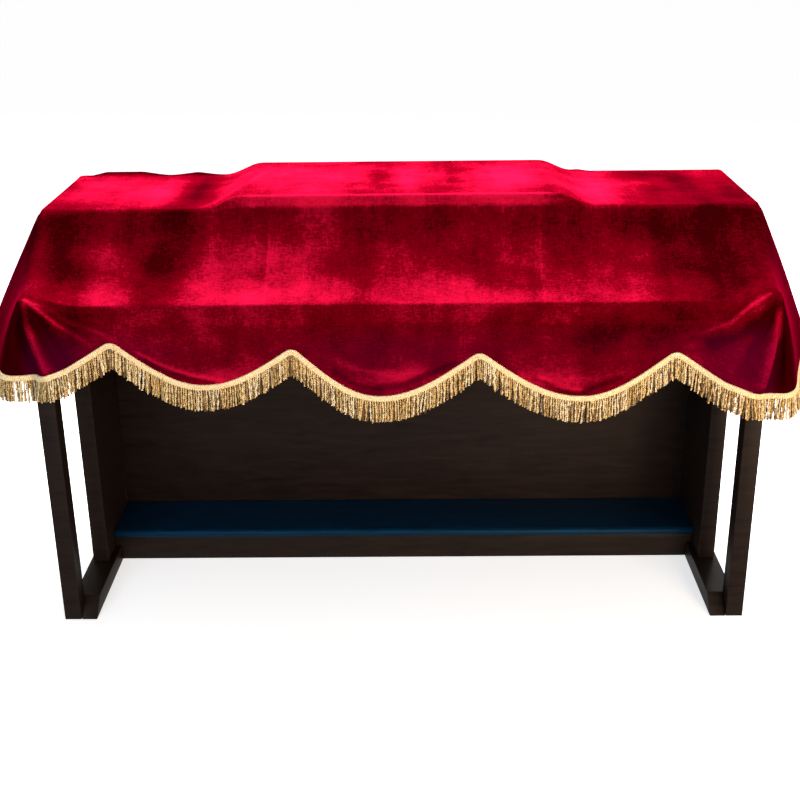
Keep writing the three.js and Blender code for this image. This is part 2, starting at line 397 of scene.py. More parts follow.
def layCover():
    hemX = frontStations()
    columns = len(hemX) - 1
    width = columns + 1
    xs, ys = creaseStations(columns), roofRows()
    gridX, gridY = np.meshgrid(xs, ys)
    roof = np.column_stack([gridX.ravel(), gridY.ravel(), roofHeight(gridX, gridY).ravel()])
    points, flat, strands, faces = [roof], [roof[:, :2]], [], []
    for j in range(len(ys) - 1):
        for a in range(j * width, j * width + columns):
            faces.append((a, a + 1, a + 1 + width, a + width))
    ring, trimmed = ringAround(hemX, xs, ys)
    rows = cover["skirtRows"]
    count = len(roof)
    t = ((np.arange(rows) + 1) / rows) ** cover["skirtCrowding"]
    for top, hem, way, belly in ring:
        start = roof[top]
        points.append(start + (hem - start) * t[:, None] + belly * (4 * t * (1 - t))[:, None])
        laid = flat[0][top] + way * (np.linalg.norm(hem - start) * t)[:, None]
        if way[1] == -1:
            laid = laid + np.array([hem[0] - start[0], 0]) * t[:, None]
        flat.append(laid)
        strands.append([top, *range(count, count + rows)])
        count += rows
    for s, strand in enumerate(strands):
        after = strands[(s + 1) % len(strands)]
        for r in range(rows):
            if strand[r] == after[r]:
                faces.append((strand[r], strand[r + 1], after[r + 1]))
            else:
                faces.append((strand[r], strand[r + 1], after[r + 1], after[r]))
    quads = np.array([f if len(f) == 4 else (*f, f[2]) for f in faces])
    pairs = np.concatenate([quads[:, [k, (k + 1) % 4]] for k in range(4)])
    pairs = pairs[pairs[:, 0] != pairs[:, 1]]
    return Sheet(
        points=np.concatenate(points), flat=np.concatenate(flat), faces=faces, quads=quads,
        edges=np.unique(np.sort(pairs, axis=1), axis=0), strands=strands, trimmed=trimmed,
        hem=np.array([strand[-1] for strand in strands]), roofCount=len(roof), columns=columns,
    )


def relax(sheet, freedom, rounds):
    a, b = sheet.edges.T
    size = len(sheet.points)
    count = np.bincount(a, minlength=size) + np.bincount(b, minlength=size)
    for _ in range(rounds):
        mean = np.stack([
            np.bincount(a, weights=sheet.points[b, k], minlength=size)
            + np.bincount(b, weights=sheet.points[a, k], minlength=size) for k in range(3)
        ], axis=1) / count[:, None]
        sheet.points = sheet.points + (mean - sheet.points) * (0.5 * freedom)[:, None]


def sheetNormals(sheet):
    p = sheet.points[sheet.quads]
    across = np.cross(p[:, 2] - p[:, 0], p[:, 3] - p[:, 1])
    normals = np.zeros_like(sheet.points)
    for corner in range(4):
        for k in range(3):
            normals[:, k] += np.bincount(sheet.quads[:, corner], weights=across[:, k], minlength=len(normals))
    return normals / np.maximum(np.linalg.norm(normals, axis=1), 1e-9)[:, None]


# Creases and folds: points along the line (x, y, z), lift at each point, reach on its left and right side,
# and the painted light along it: painted highlight where positive, painted shade where negative
cornerFolds = [
    # left front corner: two fine creases up to the hem's first point, a hollow, the corner ridge, its trough;
    # painted highlight on the creases and ridges, painted shade in the hollow and trough
    ([(-690, -12, 696), (-643, -14, 669), (-610, -18, 648), (-560, -22, 632), (-536, -25, 616)],
     [0, 4, 4, 3, 1], 5, 8, 0.12),
    ([(-690, -14, 694), (-660, -22, 671), (-629, -32, 648), (-592, -42, 630), (-566, -46, 612)],
     [1, 11, 14, 12, 8], 5, 18, 0.45),
    ([(-684, -24, 668), (-655, -38, 636), (-632, -50, 602), (-612, -54, 572)],
     [0, -10, -12, -9], 18, 20, -0.4),
    ([(-691, -16, 680), (-682, -27, 647), (-666, -42, 611), (-650, -58, 570)], [1, 14, 18, 15], 9, 9, 0.36),
    ([(-702, -18, 675), (-701, -28, 645), (-693, -40, 605), (-684, -48, 560)],
     [0, -12, -15, -12], 10, 11, -0.4),
    # right front corner
    ([(680, -12, 692), (641, -17, 667), (610, -24, 641), (580, -30, 629), (556, -34, 618)],
     [2, 12, 14, 11, 4], 18, 4.5, 0.34),
    ([(660, -25, 645), (642, -30, 635), (610, -36, 616), (580, -38, 604), (531, -36, 594)],
     [1, 6, 8, 7, 3], 17, 8, 0.06),
    ([(676, -28, 650), (640, -34, 630), (606, -38, 610), (574, -38, 600)], [0, 0, 0, 0], 15, 15, -0.36),
    ([(702, -20, 658), (695, -36, 616), (681, -47, 580), (668, -58, 528)], [1, 15, 19, 16], 13, 11, 0.62),
    ([(712, -22, 660), (712, -34, 620), (706, -44, 580), (700, -50, 530)],
     [0, -14, -17, -13], 10, 11, -0.4),
    ([(690, -18, 665), (672, -34, 630), (650, -42, 590), (636, -46, 545)], [0, -10, -12, -8], 16, 16, -0.4),
]
hemFolds = [
    ([(-487, -20, 588), (-456, -20, 571), (-426, -20, 558), (-394, -20, 547), (-333, -20, 532)],
     [1, 4, 6, 5, 1], 12, 5, 0.4),
    ([(-478, -20, 574), (-446, -20, 552), (-393, -20, 536), (-347, -20, 529)],
     [-1, -4, -5, -2], 6, 7, -0.3),
    ([(-116, -20, 568), (-75, -20, 553), (-37, -20, 546), (0, -20, 541), (36, -20, 548)],
     [1, 4, 5, 4, 1], 17, 9, 0.25),
    ([(-122, -20, 545), (-78, -20, 520), (-39, -20, 511)], [-2, -5, -4], 7, 8, -0.3),
    ([(-38, -20, 517), (9, -20, 521), (57, -20, 542), (104, -20, 562)], [-2, -6, -6, -2], 8, 7, -0.35),
    ([(263, -20, 533), (301, -20, 518), (341, -20, 508)], [2, 5, 3], 9, 4, 0.35),
    ([(252, -20, 530), (305, -20, 509), (342, -20, 500)], [-1, -4, -3], 5, 7, -0.3),
    ([(346, -20, 505), (376, -20, 518), (412, -20, 532)], [-3, -6, -3], 8, 6, -0.35),
    ([(242, -12, 640), (420, -12, 638), (592, -12, 637)], [0.8, 1, 0.8], 4, 4, 0.07),
]
roofFolds = [
    # the cloth's own storage creases down the slope, with a faint painted highlight along them
    ([(-250, -6, 678), (-250, 60, 694), (-250, 120, 738), (-250, 182, 808)],
     [0.8, 1, 1, 0.6], 3.5, 3.5, 0.1),
    ([(272, -6, 678), (272, 60, 694), (272, 120, 738), (272, 182, 808)], [0.8, 1, 1, 0.6], 3.5, 3.5, 0.12),
    # slack rolled along the back edge, with painted shade along it
    ([(-674, 505, 812), (-640, 506, 812), (-560, 506, 812), (-508, 505, 812)], [0, 9, 9, 0], 9, 9, -0.7),
    ([(-494, 505, 812), (-440, 506, 812), (-392, 505, 812)], [0, 7, 0], 9, 9, -0.6),
    ([(358, 505, 812), (384, 506, 812), (412, 505, 812)], [0, 5, 0], 12, 12, -0.4),
    # soft pulls from the shelf edge to the corners of the raised middle, with a faint painted highlight
    ([(-386, 196, 812), (-338, 236, 820), (-300, 300, 834), (-286, 400, 837)],
     [0, 2.5, 2.5, 0], 14, 10, 0.16),
    ([(-352, 350, 814), (-318, 400, 828), (-300, 440, 836)], [0, 2, 0], 12, 10, 0.1),
    ([(384, 200, 812), (340, 250, 820), (310, 330, 832)], [0, 2, 0], 10, 14, 0.1),
]
# Flutes of the side flaps: y, lift at the hem, reach
sideFlutes = [(228, 8, 22), (286, -8, 26), (346, 10, 26), (408, -8, 24), (466, 9, 22)]
sideFluteLine = [(702, 800), (722, 700), (742, 596)]  # outward x and height, from the edge down
# Waves of the back: x, lift at the hem, reach
backFlutes = [
    (-600, 9, 34), (-500, -7, 38), (-390, 10, 36), (-255, -6, 44), (-120, 9, 38), (10, -6, 44), (130, 9, 36),
    (250, -6, 42), (370, 10, 38), (480, -7, 36), (590, 9, 32),
]
backFluteLine = [(515, 800), (523, 730), (531, 662)]  # y and height, from the edge down
# Painted light on a flute for each millimetre of its lift: painted highlight on raised flutes, painted shade
# on sunk ones
flutePaintedLight = 0.012


def allFolds():
    flutes = [
        ([(side * x, y, z) for x, z in sideFluteLine], lift, reach)
        for side in (-1, 1) for y, lift, reach in sideFlutes
    ]
    flutes += [([(x, y, z) for y, z in backFluteLine], lift, reach) for x, lift, reach in backFlutes]
    found = [*cornerFolds, *hemFolds, *roofFolds]
    for line, lift, reach in flutes:
        found.append((line, [0, lift * 0.5, lift], reach, reach, flutePaintedLight * lift))
    return found


# How far out a fold is looked for, how flat its distance is measured, and how wide its painted highlight and
# shade are spread
foldSpread = {"search": 3, "flatness": 0.9, "pile": 0.85}


def foldLift(sheet, normals, line, lifts, leftReach, rightReach, pile):
    line = np.array(line, float)
    reach = foldSpread["search"] * max(leftReach, rightReach)
    inside = np.all((sheet.points > line.min(0) - reach) & (sheet.points < line.max(0) + reach), axis=1)
    picked = np.nonzero(inside)[0]
    p = sheet.points[picked]
    outward = normals[picked]
    pileWidth = foldSpread["pile"] * min(leftReach, rightReach)
    best = np.full(len(p), 1e9)
    amount = np.zeros(len(p))
    paintedAlongFold = np.zeros(len(p))
    for k in range(len(line) - 1):
        along = line[k + 1] - line[k]
        t = np.clip((p - line[k]) @ along / (along @ along), 0, 1)
        offset = p - (line[k] + along * t[:, None])
        offset = offset - outward * np.sum(offset * outward, axis=1)[:, None] * foldSpread["flatness"]
        distance = np.linalg.norm(offset, axis=1)
        leftSide = np.sum(np.cross(outward, along) * offset, axis=1) > 0
        width = np.where(leftSide, leftReach, rightReach)
        lift = (lifts[k] + (lifts[k + 1] - lifts[k]) * t) * np.exp(-(distance / width) ** 2)
        closer = distance < best
        best = np.where(closer, distance, best)
        amount = np.where(closer, lift, amount)
        # painted light along the fold: lighter on ridges, darker in troughs
        paintedAlongFold = np.where(closer, pile * np.exp(-(distance / pileWidth) ** 2), paintedAlongFold)
    total = np.zeros((len(sheet.points), 2))
    total[picked, 0] = amount
    total[picked, 1] = paintedAlongFold
    return total


def clearWood(sheet):
    margin = cover["woodMargin"]
    for name in ("upper_case", "music_desk", "keybed", "cheek_left", "cheek_right"):
        low, high = (fromFrame(corner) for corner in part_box(name))
        nearest = np.clip(sheet.points, low, high)
        gap = sheet.points - nearest
        distance = np.linalg.norm(gap, axis=1)
        near = (distance > 0) & (distance < margin)
        sheet.points[near] = nearest[near] + gap[near] / distance[near][:, None] * margin


def measureFlat(sheet):
    # how wide and how deep the cloth is when laid out, from hem to hem over the piano
    strandFrom = {strand[0]: strand for strand in sheet.strands}
    width, rows = sheet.columns + 1, sheet.roofCount // (sheet.columns + 1)
    grid = np.arange(sheet.roofCount).reshape(rows, width)

    def laidLength(line):
        path = [*strandFrom[line[0]][:0:-1], *line, *strandFrom[line[-1]][1:]]
        return float(np.linalg.norm(np.diff(sheet.points[path], axis=0), axis=1).sum())

    across = max(laidLength(grid[j]) for j in range(1, rows - 1))
    along = max(laidLength(grid[:, i]) for i in range(1, width - 1))
    sheet.flatSize = (round(across) * mm, round(along) * mm)
    print("cloth laid flat:", sheet.flatSize)


def between(place, low, lowOver, high, highOver):
    return smooth((place - low) / lowOver) * smooth((high - place) / highOver)


def shapeCover():
    sheet = layCover()
    laid = sheet.points.copy()
    x, y, z = sheet.points.T
    fromX, overX = cover["endRollX"]
    fromZ, overZ = cover["endRollZ"]
    roll = between(y, *cover["endRollY"]) * smooth((np.abs(x) - fromX) / overX) * smooth((z - fromZ) / overZ)
    roll[sheet.hem] = 0
    relax(sheet, roll, cover["endRollRounds"])
    apex = np.array([cover["halfWidth"], cover["front"], cover["crease"] + cover["creaseEndRise"]])
    toApex = np.linalg.norm(np.column_stack([np.abs(x), y, z]) - apex, axis=1)
    relax(sheet, smooth(cover["apexFade"] - toApex / cover["apexReach"]), cover["apexRounds"])
    freedom = np.ones(len(x))
    freedom[sheet.hem] = 0
    share, rounds = cover["laidEase"]
    relax(sheet, freedom * share, rounds)
    moved = sheet.points - laid
    normals = sheetNormals(sheet)
    worked = np.zeros((len(x), 2))
    for fold in allFolds():
        worked += foldLift(sheet, normals, *fold)
    sheet.points += normals * worked[:, :1]
    # painted highlight and shade of the folds, later added to the velvet's colour
    sheet.pile = worked[:, 1]
    share, rounds = cover["foldedEase"]
    relax(sheet, freedom * share, rounds)
    clearWood(sheet)
    print("cover laid: widest move while easing", round(float(np.abs(moved).max()), 1), "mm")
    measureFlat(sheet)
    return sheet


def makeObject(name, points, faces):
    mesh = bpy.data.meshes.new(name)
    mesh.from_pydata([tuple(p) for p in points], [], faces)
    shadeSmooth(mesh)
    return addObject(name, mesh)


velvet = {
    "deep": (0.028, 0.0, 0.0006),
    "full": (0.135, 0.0, 0.004),
    "bright": (0.58, 0.004, 0.036),
    "rampPlaces": (0.15, 0.5, 0.95),
    # painted cool shade, mixed in low on the hanging front
    "paintedCoolShade": (0.09, 0.0, 0.02),
    "paintedCoolShadeMost": 0.5,
    "roughness": 0.85,
    "sheen": 0.27,
    "sheenTint": (1.0, 0.0, 0.07),
    "sheenRoughness": 0.32,
    # patterns of the pile: stretch, scale, detail, roughness
    "crush": ((0.6, 1.0, 1.0), 15.0, 5.0, 0.62),
    "brushing": ((1.0, 0.16, 1.0), 13.0, 3.0, 0.6),
    "weft": ((0.22, 1.0, 1.0), 330.0, 2.0, 0.6),
    "warp": ((1.0, 0.22, 1.0), 300.0, 2.0, 0.6),
    "tuft": ((1.0, 1.0, 1.0), 170.0, 3.0, 0.6),
    "crushShare": 0.75,
    "brushingShare": 0.55,
    "warpShare": 0.7,
    "fineMiddle": 1.35,
    "fineShare": 0.36,
    "fineHeight": 1.5,
    "crushHeight": 4.0,
    "bumpStrength": 0.55,
    "bumpDistance": 0.0012,
}


def velvetMaterial():
    material, tree, shader = newMaterial("crimsonVelvet", velvet["full"], velvet["roughness"], 0.0)
    shader.inputs["Sheen Weight"].default_value = velvet["sheen"]
    shader.inputs["Sheen Roughness"].default_value = velvet["sheenRoughness"]
    shader.inputs["Sheen Tint"].default_value = (*velvet["sheenTint"], 1)
    uv = addNode(tree, "ShaderNodeUVMap", uv_map="clothFlat").outputs[0]
    crush, brushing, weft, warp, tuft = (
        addNoise(tree, uv, *velvet[name]) for name in ("crush", "brushing", "weft", "warp", "tuft")
    )
    fine = addMath(tree, "ADD", weft, addMath(tree, "MULTIPLY", warp, velvet["warpShare"]))
    fine = addShare(tree, addMath(tree, "ADD", fine, tuft), velvet["fineMiddle"], velvet["fineShare"])
    # the nap attribute brings brushed pile tone with painted highlight and shade into the colour
    tone = addNode(tree, "ShaderNodeAttribute", attribute_name="napAndPaintedLight").outputs["Fac"]
    for part in (addShare(tree, crush, 0.5, velvet["crushShare"]),
                 addShare(tree, brushing, 0.5, velvet["brushingShare"]), fine):
        tone = addMath(tree, "ADD", tone, part)
    shades = [velvet[name] for name in ("deep", "full", "bright")]
    color = addRamp(tree, tone, zip(velvet["rampPlaces"], shades))
    # painted cool shade mixed over the colour
    paintedCoolShade = addNode(tree, "ShaderNodeAttribute", attribute_name="paintedCoolShade").outputs["Fac"]
    mixed = addNode(tree, "ShaderNodeMix", {0: paintedCoolShade, 6: color, 7: (*velvet["paintedCoolShade"], 1)}, data_type="RGBA")
    tree.links.new(mixed.outputs[2], shader.inputs["Base Color"])
    height = addMath(tree, "ADD", addMath(tree, "MULTIPLY", fine, velvet["fineHeight"]),
                     addMath(tree, "MULTIPLY", crush, velvet["crushHeight"]))
    addBump(tree, shader, height, velvet["bumpStrength"], velvet["bumpDistance"])
    return material


backing = {
    "color": (0.1, 0.005, 0.012),
    "dark": (0.07, 0.003, 0.008),
    "light": (0.14, 0.008, 0.018),
    "rampPlaces": (0.2, 0.8),
    "weave": 160.0,
    "distortion": 0.6,
    "roughness": 0.9,
    "specular": 0.1,
}


def backingMaterial():
    material, tree, shader = newMaterial(
        "coverBacking", backing["color"], backing["roughness"], backing["specular"])
    uv = addNode(tree, "ShaderNodeUVMap", uv_map="clothFlat").outputs[0]
    weave = addNode(tree, "ShaderNodeTexWave", {
        "Vector": uv, "Scale": backing["weave"], "Distortion": backing["distortion"],
    }, bands_direction="DIAGONAL").outputs["Fac"]
    color = addRamp(tree, weave, zip(backing["rampPlaces"], (backing["dark"], backing["light"])))
    tree.links.new(color, shader.inputs["Base Color"])
    return material


# Patches of brushed pile tone and of painted light, in flat cloth places: x, y, half width, half depth, how
# much lighter or darker;
# the painted highlight runs along the bottom of the slope, painted shade darkens the upper slope and the back
napAndPaintedLightPatches = [
    (-650, 130, 55, 110, -0.3), (-620, 70, 36, 60, -0.15), (-565, 8, 85, 42, 0.2),
    (-465, 100, 46, 130, -0.32), (-470, 10, 34, 60, -0.05), (-300, 20, 140, 60, 0.3),
    (-310, 120, 60, 60, 0.02), (-75, 90, 30, 110, -0.2), (-130, 12, 40, 40, 0.12),
    (60, 18, 120, 56, 0.26), (150, 110, 60, 70, -0.12), (250, 110, 40, 120, -0.06),
    (250, 6, 90, 30, 0.18), (430, 6, 90, 34, 0.12), (400, 140, 120, 50, -0.15),
    (620, 90, 90, 140, -0.4), (-610, 340, 80, 150, 0.24), (-500, 330, 45, 100, 0.4),
    (-410, 350, 28, 170, -0.34), (-340, 330, 30, 120, 0.16), (-190, 350, 110, 160, 0.34),
    (-45, 350, 20, 170, -0.1), (20, 330, 40, 120, 0.34), (108, 360, 20, 130, -0.06),
    (210, 330, 80, 160, 0.4), (400, 340, 60, 150, 0.3), (520, 300, 30, 110, -0.2),
    (590, 380, 46, 100, -0.3), (665, 290, 36, 80, -0.26), (520, 460, 50, 40, -0.25),
]
# The same on the hanging front, partly brushed pile and partly painted light: a painted highlight along the
# bottoms of the scallops, darker patches higher up
dropPatches = [
    (30, -60, 260, 70, -0.12), (460, -60, 200, 70, -0.24), (-620, -70, 60, 60, -0.22),
    (-330, -150, 90, 20, 0.2), (-30, -160, 90, 18, 0.3), (330, -165, 90, 18, 0.24),
    (-560, -30, 50, 20, -0.1),
]
# Bands of brushed pile and of painted light, in flat cloth places: how much lighter or darker, where each
# begins and over how much
napAndPaintedLightBands = {
    "middle": 0.5,
    "roof": (1, -13, 9),
    "dropTop": (0.06, -50, 8),  # the top of the drop is brushed down, and ends in a faint line
    "dropSides": (600, 60),
    "deskSides": (20, 40),
    "deskLip": (0.22, 179.4, 1.6, 188, 3),  # painted highlight on the raised middle's front lip, and a brighter one along its edge above it
    "deskEdge": (0.4, 184, 2, 192, 4),
    # painted shade: the upper slope, the side flaps and the back edge are darker
    "slopeTop": (-0.14, 120, 50, 180.6, 1.4),
    "left": (-0.45, 690, 40),
    "right": (-0.4, 700, 40),
    "back": (-0.3, 508, 12),
}


def patchSum(x, y, patches):
    total = np.zeros(len(x))
    for centreX, centreY, halfWidth, halfDepth, amount in patches:
        total += amount * np.exp(-((x - centreX) / halfWidth) ** 2 - ((y - centreY) / halfDepth) ** 2)
    return total


def napAndPaintedLightAt(flat):
    x, y = flat.T

    def above(place, name):
        amount, start, over = napAndPaintedLightBands[name]
        return amount * smooth((place - start) / over)

    onRoof = above(y, "roof")
    napAndPaintedLight = napAndPaintedLightBands["middle"] + patchSum(x, y, napAndPaintedLightPatches) * onRoof
    napAndPaintedLight += patchSum(x, y, dropPatches) * (1 - onRoof)
    start, over = napAndPaintedLightBands["dropSides"]
    napAndPaintedLight += (1 - onRoof) * above(y, "dropTop") * smooth((start - np.abs(x)) / over)
    start, over = napAndPaintedLightBands["deskSides"]
    middle = smooth((cover["deskHalfWidth"] + start - np.abs(x)) / over)
    for name, share in (("deskLip", middle), ("deskEdge", middle), ("slopeTop", 1)):
        amount, *run = napAndPaintedLightBands[name]
        napAndPaintedLight += amount * share * between(y, *run)
    return napAndPaintedLight + above(-x, "left") + above(x, "right") + above(y, "back")


# Painted cool shade: the velvet turns darker and purple low on the hanging front, most towards its ends
paintedCoolShadeBands = {"below": (652, 70), "front": (40, 30), "base": 0.2, "wave": (0.1, 118), "sides": 0.22,
             "left": (350, 200), "right": (480, 150), "edge": (712, 30)}


def paintedCoolShadeAt(sheet):
    x, y, z = sheet.points.T

    def below(place, name):
        start, over = paintedCoolShadeBands[name]
        return smooth((start - place) / over)

    swing, spread = paintedCoolShadeBands["wave"]
    leftFrom, leftOver = paintedCoolShadeBands["left"]
    rightFrom, rightOver = paintedCoolShadeBands["right"]
    ends = smooth((-x - leftFrom) / leftOver) + smooth((x - rightFrom) / rightOver)
    amount = paintedCoolShadeBands["base"] + swing * np.cos(x / spread) + paintedCoolShadeBands["sides"] * ends
    paintedCoolShade = below(z, "below") * below(y, "front") * amount * below(np.abs(x), "edge")
    return np.clip(paintedCoolShade, 0, velvet["paintedCoolShadeMost"])


def makeCover(sheet):
    obj = makeObject("velvetCover", toFrame(sheet.points), sheet.faces)
    mesh = obj.data
    uv = mesh.uv_layers.new(name="clothFlat")
    loopVertex = np.zeros(len(mesh.loops), int)
    mesh.loops.foreach_get("vertex_index", loopVertex)
    unrolled = sheet.flat.copy()
    roof = slice(0, sheet.roofCount)
    unrolled[roof, 1] += np.clip(sheet.points[roof, 2] - cover["top"], 0, None) * cover["deskUnroll"]
    uv.data.foreach_set("uv", (unrolled[loopVertex] * mm).ravel())
    # the velvet's colour attributes: brushed pile with painted highlight and shade, and painted cool shade
    for name, values in (("napAndPaintedLight", napAndPaintedLightAt(sheet.flat) + sheet.pile), ("paintedCoolShade", paintedCoolShadeAt(sheet))):
        mesh.attributes.new(name, "FLOAT", "POINT").data.foreach_set("value", values)
    mesh.materials.append(velvetMaterial())
    mesh.materials.append(backingMaterial())
    solid = obj.modifiers.new("clothThickness", "SOLIDIFY")
    solid.thickness = cover["thickness"] * mm
    solid.offset = -1
    solid.material_offset = 1
    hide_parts("velvet_cover")
    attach(obj, "root")
    print("velvet cover:", len(mesh.vertices), "points", len(mesh.polygons), "faces")
    return obj


# Fringe: a braided heading sewn to the hem, with twisted cords hanging from it
fringe = {
    "headingWidth": 9.0,
    "headingThickness": 2.6,
    "headingTuck": 2.5,
    "standOff": 0.4,
    "stitchOff": 0.6,
    "hangLean": 0.12,
    "fallFrom": 4,
    "fallRounds": 6,
    "frontRun": 500,
    "cordLength": 44.0,
    "cordSteps": 13,
    # name, how far back, pitch, radius, seed, how light its cords are
    "cordRows": [
        ("fringeCords", 0.0, 4.7, 2.35, 4, (-1.0, 0.3)),
        # the row behind is painted darker, as painted shade behind the front row
        ("fringeCordsBehind", 2.7, 3.7, 2.9, 31, (-2.1, -1.0)),
    ],
    "cordSides": 6,
    "cordFlat": 0.52,
    "cordTurns": 4.5,
    "lengths": (0.93, 1.03),
    "widths": (0.85, 1.12),
    "stitchPitch": 3.7,
    "stitchRadius": 1.25,
    "stitchStretch": 2.1,
    "stitchRows": [(0.12, 0.6), (0.5, -0.6), (0.88, 0.6)],  # place across the heading, slant
    "swing": 0.06,
    "swingSideShare": 0.6,
    "spin": 3.1,
    "cling": 0.75,
    "clingScale": 42.0,
    "wander": 5.4,
    "wanderScale": 110.0,
    "wanderSpread": 40.0,
    "light": (1.0, 0.86, 0.56),
    "gold": (0.86, 0.57, 0.21),
    "shade": (0.15, 0.065, 0.014),
    "rampPlaces": (0.1, 0.45, 0.75),
    "mottleScale": 260.0,
    "mottleShare": 0.6,
    "strandShare": 0.35,
    "toneLift": 0.34,
    "threadScale": 1400.0,
    "threadBump": (0.4, 0.0004),  # strength, distance
    "roughness": 0.55,
    "specular": 0.25,
    "sheen": 0.3,
}


def unit(vectors):
    return vectors / np.linalg.norm(vectors, axis=1)[:, None]


def hemPath(sheet):
    trimmed = sheet.strands[:sheet.trimmed]
    p = sheet.points[[strand[-1] for strand in trimmed]]
    along = unit(np.gradient(p, axis=0))
    down = p - sheet.points[[strand[-fringe["fallFrom"]] for strand in trimmed]]
    down = unit(down - along * np.sum(down * along, axis=1)[:, None])
    for _ in range(fringe["fallRounds"]):
        down[1:-1] = (down[:-2] + down[1:-1] * 2 + down[2:]) / 4
    down = unit(down)
    outward = unit(np.cross(along, down))
    front = np.abs(p[:, 0]) < fringe["frontRun"]
    if np.mean(outward[:, 1] * front) > 0:
        outward = -outward
    return p, down, outward


def sweepHeading(p, down, outward):
    width, half = fringe["headingWidth"], fringe["headingThickness"] / 2
    profile = [(-1.5, -half * 0.5), (0.2, half), (width * 0.5, half * 0.8), (width - 1.2, half), (width, 0),
               (width - 1.2, -half), (width * 0.5, -half * 0.8), (0.2, -half)]
    size = len(profile)
    off = fringe["standOff"]
    points = np.concatenate([
        [point + d * a + o * (b + off) for a, b in profile] for point, d, o in zip(p, down, outward)
    ])
    faces = []
    for s in range(len(p) - 1):
        for k in range(size):
            a, b = s * size + k, s * size + (k + 1) % size
            faces.append((a, b, b + size, a + size))
    faces.append(tuple(range(size))[::-1])
    faces.append(tuple(range((len(p) - 1) * size, len(p) * size)))
    return points, faces


def pathObject(name, points, vectors):
    mesh = bpy.data.meshes.new(name)
    mesh.from_pydata([tuple(v) for v in toFrame(points)], [(k, k + 1) for k in range(len(points) - 1)], [])
    for key, values in vectors.items():
        attribute = mesh.attributes.new(key, "FLOAT_VECTOR", "POINT")
        attribute.data.foreach_set("vector", np.asarray(values, float).ravel())
    return addObject(name, mesh)


def geometryTree(name, inputs):
    tree = bpy.data.node_groups.new(name, "GeometryNodeTree")
    tree.interface.new_socket("Geometry", in_out="INPUT", socket_type="NodeSocketGeometry")
    sockets = {}
    for label, (kind, _) in inputs.items():
        sockets[label] = tree.interface.new_socket(label, in_out="INPUT", socket_type=kind)
    tree.interface.new_socket("Geometry", in_out="OUTPUT", socket_type="NodeSocketGeometry")
    source = tree.nodes.new("NodeGroupInput")
    target = tree.nodes.new("NodeGroupOutput")
    return tree, source.outputs, target, sockets


def growAlong(name, path, tree, sockets, inputs):
    modifier = path.modifiers.new(name, "NODES")
    modifier.node_group = tree
    for label, (_, value) in inputs.items():
        modifier[sockets[label].identifier] = value
    evaluated = path.evaluated_get(bpy.context.evaluated_depsgraph_get())
    mesh = bpy.data.meshes.new_from_object(evaluated)
    mesh.name = name
    path.modifiers.clear()
    bpy.data.objects.remove(path)
    return addObject(name, mesh)


def named(tree, name, kind="FLOAT_VECTOR"):
    node = addNode(tree, "GeometryNodeInputNamedAttribute", {"Name": name}, data_type=kind)
    return node.outputs["Attribute"]


def scaled(tree, vector, factor):
    return addNode(tree, "ShaderNodeVectorMath", {0: vector, "Scale": factor}, operation="SCALE").outputs[0]


def combined(tree, *parts):
    return addNode(tree, "ShaderNodeCombineXYZ", dict(enumerate(parts))).outputs[0]


def facingTo(tree, primary, secondary):
    axes = {"Primary Axis": primary, "Secondary Axis": secondary}
    return addNode(tree, "FunctionNodeAxesToRotation", axes, primary_axis="Z", secondary_axis="X").outputs[0]


def turnedBy(tree, rotation, euler):
    turn = addNode(tree, "FunctionNodeEulerToRotation", {"Euler": euler}).outputs[0]
    both = {"Rotation": rotation, "Rotate By": turn}
    return addNode(tree, "FunctionNodeRotateRotation", both, rotation_space="LOCAL").outputs[0]


def spacedAlong(tree, geometry, pitch):
    path = addNode(tree, "GeometryNodeMeshToCurve", {"Mesh": geometry}).outputs[0]
    spaced = {"Curve": path, "Length": pitch}
    return addNode(tree, "GeometryNodeResampleCurve", spaced, mode="LENGTH").outputs[0]


def copiesOn(tree, points, piece, rotation, size):
    return addNode(tree, "GeometryNodeInstanceOnPoints", {
        "Points": points, "Instance": piece, "Rotation": rotation, "Scale": size,
    }).outputs[0]


def shifted(tree, geometry, offset):
    return addNode(tree, "GeometryNodeSetPosition", {"Geometry": geometry, "Offset": offset}).outputs[0]


def finishTree(tree, target, geometry, material):
    last = addNode(tree, "GeometryNodeSetMaterial", {"Geometry": geometry, "Material": material}).outputs[0]
    tree.links.new(last, target.inputs[0])


def randomValue(tree, low, high, seed):
    node = addNode(tree, "FunctionNodeRandomValue", data_type="FLOAT")
    lowest, highest = [s for s in node.inputs if s.enabled][:2]
    lowest.default_value = low
    highest.default_value = high
    tree.links.new(seed, next(s for s in node.inputs if s.name == "Seed"))
    return next(s for s in node.outputs if s.enabled)


def twistedCord(tree, turns):
    # one long and one across here: its length and radius come with the copies
    line = addNode(tree, "GeometryNodeCurvePrimitiveLine", {"Start": (0, 0, 0), "End": (0, 0, -1)}).outputs[0]
    steps = addNode(tree, "GeometryNodeResampleCurve", {"Curve": line, "Count": fringe["cordSteps"]})
    place = addNode(tree, "GeometryNodeSplineParameter").outputs["Factor"]
    tilt = addMath(tree, "MULTIPLY", addMath(tree, "MULTIPLY", place, turns), math.tau)
    tilted = addNode(tree, "GeometryNodeSetCurveTilt", {"Curve": steps.outputs[0], "Tilt": tilt}).outputs[0]
    sides = {"Resolution": fringe["cordSides"], "Radius": 1.0}
    circle = addNode(tree, "GeometryNodeCurvePrimitiveCircle", sides)
    flattened = {"Geometry": circle.outputs["Curve"], "Scale": (1, fringe["cordFlat"], 1)}
    profile = addNode(tree, "GeometryNodeTransform", flattened).outputs[0]
    swept = {"Curve": tilted, "Profile Curve": profile, "Fill Caps": True}
    return addNode(tree, "GeometryNodeCurveToMesh", swept).outputs[0]


